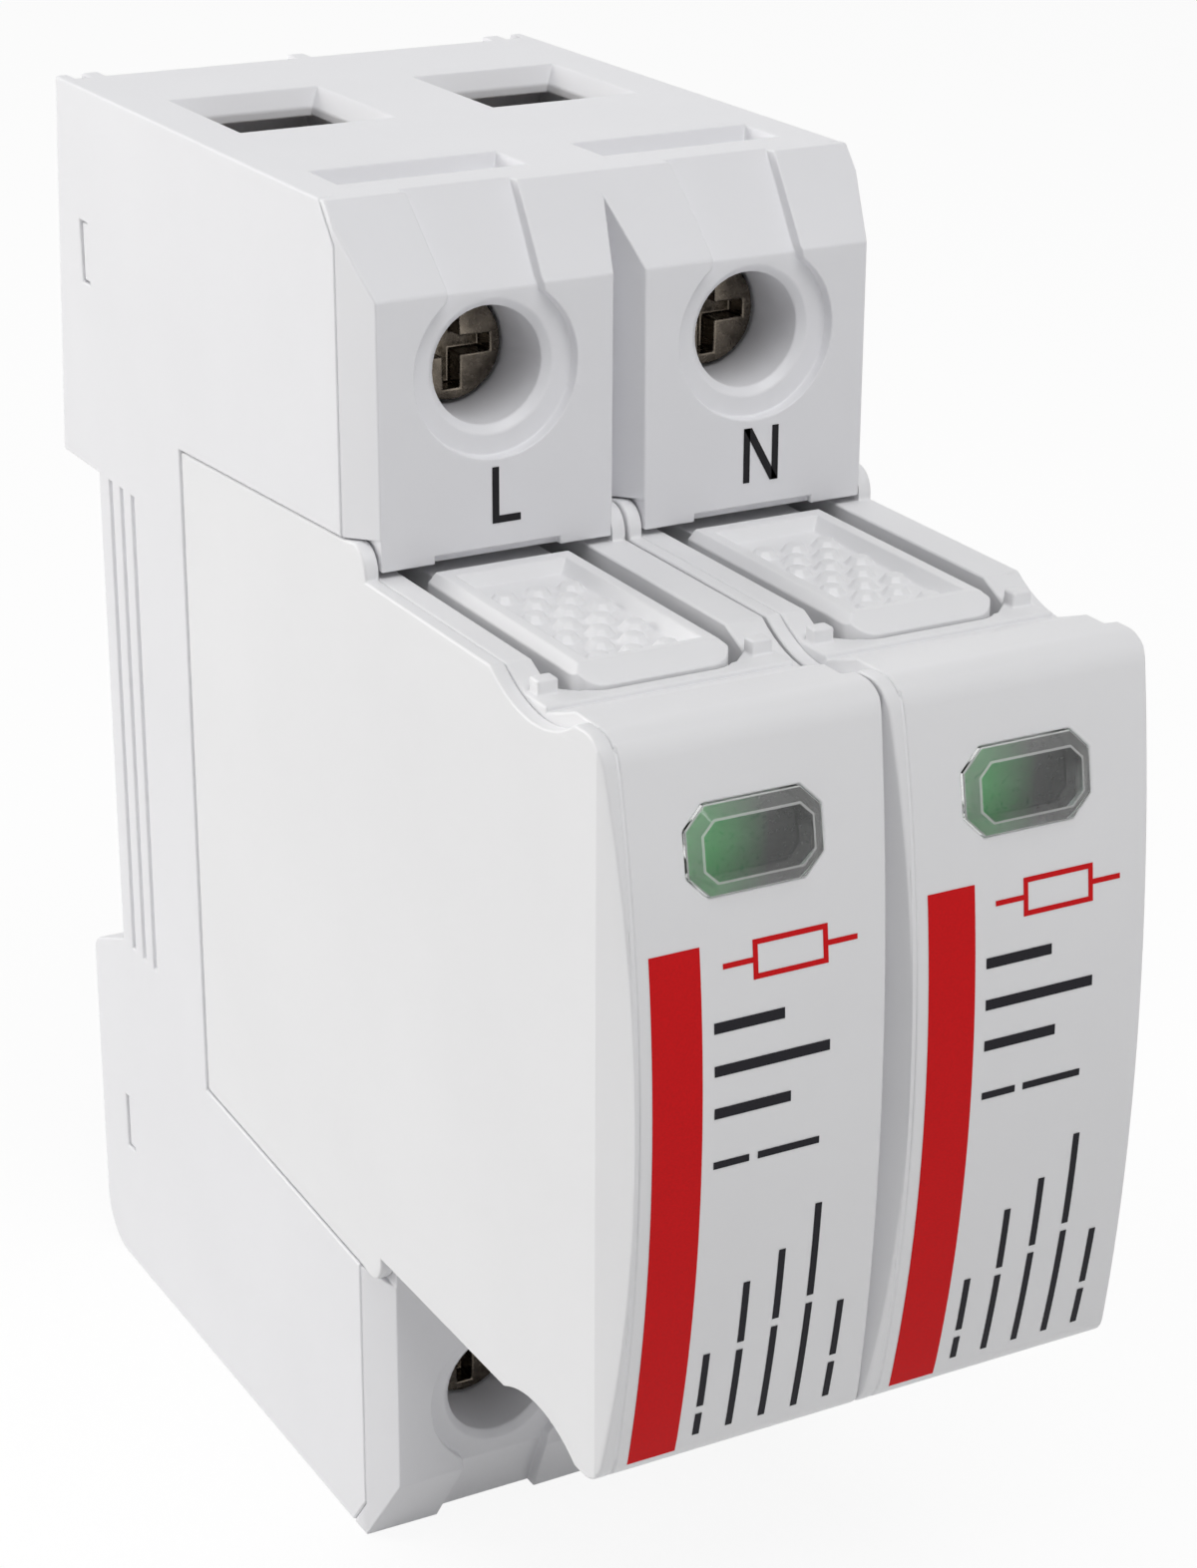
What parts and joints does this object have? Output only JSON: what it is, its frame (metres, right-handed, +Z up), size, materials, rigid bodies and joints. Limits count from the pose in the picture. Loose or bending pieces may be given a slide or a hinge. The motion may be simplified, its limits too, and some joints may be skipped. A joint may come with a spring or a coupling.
{
  "type": "din rail surge arrester",
  "caption": "Surge arrester for a top-hat rail: base with screw clamps above and below, plug-in modules with status windows and press-in release levers between them.",
  "frame": {"origin": "the middle of the rail seat, on the front plane of the rail's flanges", "axes": "+X to the right across the poles seen from the front, -Y to the front, +Z up"},
  "size_m": [0.0356, 0.0823, 0.09],
  "materials": {
    "base_plastic": "fine satin",
    "module_plastic": "fine satin",
    "latch_plastic": "satin",
    "spring_steel": "drawn wire",
    "screw_steel": "zinc plated",
    "cage_steel": "zinc plated",
    "contact_brass": "bare",
    "clear_plastic": "clear",
    "green_plastic": "gloss",
    "red_plastic": "gloss",
    "varistor_coating": "epoxy"
  },
  "bodies": {
    "base": {"base_housing_line": "base_plastic", "base_housing_neutral": "base_plastic", "side_cover_left": "base_plastic", "side_cover_right": "base_plastic", "rail_latch_spring": "spring_steel", "terminal_bar_line_top": "contact_brass", "terminal_bar_neutral_top": "contact_brass", "terminal_bar_line_bottom": "contact_brass", "terminal_bar_neutral_bottom": "contact_brass"},
    "rail_latch": {"rail_latch": "latch_plastic"},
    "screw_line_top": {"terminal_screw_line_top": "screw_steel"},
    "cage_line_top": {"clamp_cage_line_top": "cage_steel"},
    "screw_neutral_top": {"terminal_screw_neutral_top": "screw_steel"},
    "cage_neutral_top": {"clamp_cage_neutral_top": "cage_steel"},
    "screw_line_bottom": {"terminal_screw_line_bottom": "screw_steel"},
    "cage_line_bottom": {"clamp_cage_line_bottom": "cage_steel"},
    "screw_neutral_bottom": {"terminal_screw_neutral_bottom": "screw_steel"},
    "cage_neutral_bottom": {"clamp_cage_neutral_bottom": "cage_steel"},
    "module_line": {"module_shell_line": "module_plastic", "module_cover_line": "module_plastic", "status_window_line": "clear_plastic", "fault_plate_line": "red_plastic", "varistor_line": "varistor_coating", "blade_top_line": "contact_brass", "blade_bottom_line": "contact_brass", "disconnect_arm_line": "contact_brass"},
    "flag_line": {"status_flag_line": "green_plastic"},
    "lever_top_line": {"release_lever_top_line": "module_plastic"},
    "lever_bottom_line": {"release_lever_bottom_line": "module_plastic"},
    "module_neutral": {"module_shell_neutral": "module_plastic", "module_cover_neutral": "module_plastic", "status_window_neutral": "clear_plastic", "fault_plate_neutral": "red_plastic", "varistor_neutral": "varistor_coating", "blade_top_neutral": "contact_brass", "blade_bottom_neutral": "contact_brass", "disconnect_arm_neutral": "contact_brass"},
    "flag_neutral": {"status_flag_neutral": "green_plastic"},
    "lever_top_neutral": {"release_lever_top_neutral": "module_plastic"},
    "lever_bottom_neutral": {"release_lever_bottom_neutral": "module_plastic"}
  },
  "joints": [
    {"name": "rail_latch_slide", "type": "slide", "parent": "base", "child": "rail_latch", "axis": [0, 0, -1], "range_m": [0, 0.004], "stiffness_N_per_m": 1000, "springref_m": -0.002, "deforming": ["rail_latch_spring"]},
    {"name": "screw_line_top_turn", "type": "hinge", "parent": "base", "child": "screw_line_top", "pos_m": [-0.0089, -0.0379, 0.0346], "axis": [0, 1, 0], "range_deg": [0, 2880]},
    {"name": "cage_line_top_lift", "type": "slide", "parent": "base", "child": "cage_line_top", "axis": [0, -1, 0], "range_m": [0, 0.0064]},
    {"name": "screw_neutral_top_turn", "type": "hinge", "parent": "base", "child": "screw_neutral_top", "pos_m": [0.0089, -0.0379, 0.0346], "axis": [0, 1, 0], "range_deg": [0, 2880]},
    {"name": "cage_neutral_top_lift", "type": "slide", "parent": "base", "child": "cage_neutral_top", "axis": [0, -1, 0], "range_m": [0, 0.0064]},
    {"name": "screw_line_bottom_turn", "type": "hinge", "parent": "base", "child": "screw_line_bottom", "pos_m": [-0.0089, -0.0379, -0.0349], "axis": [0, 1, 0], "range_deg": [0, 2880]},
    {"name": "cage_line_bottom_lift", "type": "slide", "parent": "base", "child": "cage_line_bottom", "axis": [0, -1, 0], "range_m": [0, 0.0064]},
    {"name": "screw_neutral_bottom_turn", "type": "hinge", "parent": "base", "child": "screw_neutral_bottom", "pos_m": [0.0089, -0.0379, -0.0349], "axis": [0, 1, 0], "range_deg": [0, 2880]},
    {"name": "cage_neutral_bottom_lift", "type": "slide", "parent": "base", "child": "cage_neutral_bottom", "axis": [0, -1, 0], "range_m": [0, 0.0064]},
    {"name": "module_line_pull", "type": "slide", "parent": "base", "child": "module_line", "axis": [0, -1, 0], "range_m": [0, 0.042]},
    {"name": "flag_line_drop", "type": "slide", "parent": "module_line", "child": "flag_line", "axis": [0, 0, -1], "range_m": [0, 0.006]},
    {"name": "lever_top_line_press", "type": "hinge", "parent": "module_line", "child": "lever_top_line", "pos_m": [-0.0089, -0.0629, 0.0206], "axis": [-1, 0, 0], "range_deg": [0, 2.5], "stiffness_Nm_per_rad": 0.3},
    {"name": "lever_bottom_line_press", "type": "hinge", "parent": "module_line", "child": "lever_bottom_line", "pos_m": [-0.0089, -0.0629, -0.0206], "axis": [1, 0, 0], "range_deg": [0, 2.5], "stiffness_Nm_per_rad": 0.3},
    {"name": "module_neutral_pull", "type": "slide", "parent": "base", "child": "module_neutral", "axis": [0, -1, 0], "range_m": [0, 0.042]},
    {"name": "flag_neutral_drop", "type": "slide", "parent": "module_neutral", "child": "flag_neutral", "axis": [0, 0, -1], "range_m": [0, 0.006]},
    {"name": "lever_top_neutral_press", "type": "hinge", "parent": "module_neutral", "child": "lever_top_neutral", "pos_m": [0.0089, -0.0629, 0.0206], "axis": [-1, 0, 0], "range_deg": [0, 2.5], "stiffness_Nm_per_rad": 0.3},
    {"name": "lever_bottom_neutral_press", "type": "hinge", "parent": "module_neutral", "child": "lever_bottom_neutral", "pos_m": [0.0089, -0.0629, -0.0206], "axis": [1, 0, 0], "range_deg": [0, 2.5], "stiffness_Nm_per_rad": 0.3}
  ],
  "couplings": [
    {"joint": "screw_line_top_turn", "follows": "cage_line_top_lift", "rad_per_m": 7854},
    {"joint": "screw_neutral_top_turn", "follows": "cage_neutral_top_lift", "rad_per_m": 7854},
    {"joint": "screw_line_bottom_turn", "follows": "cage_line_bottom_lift", "rad_per_m": 7854},
    {"joint": "screw_neutral_bottom_turn", "follows": "cage_neutral_bottom_lift", "rad_per_m": 7854}
  ]
}
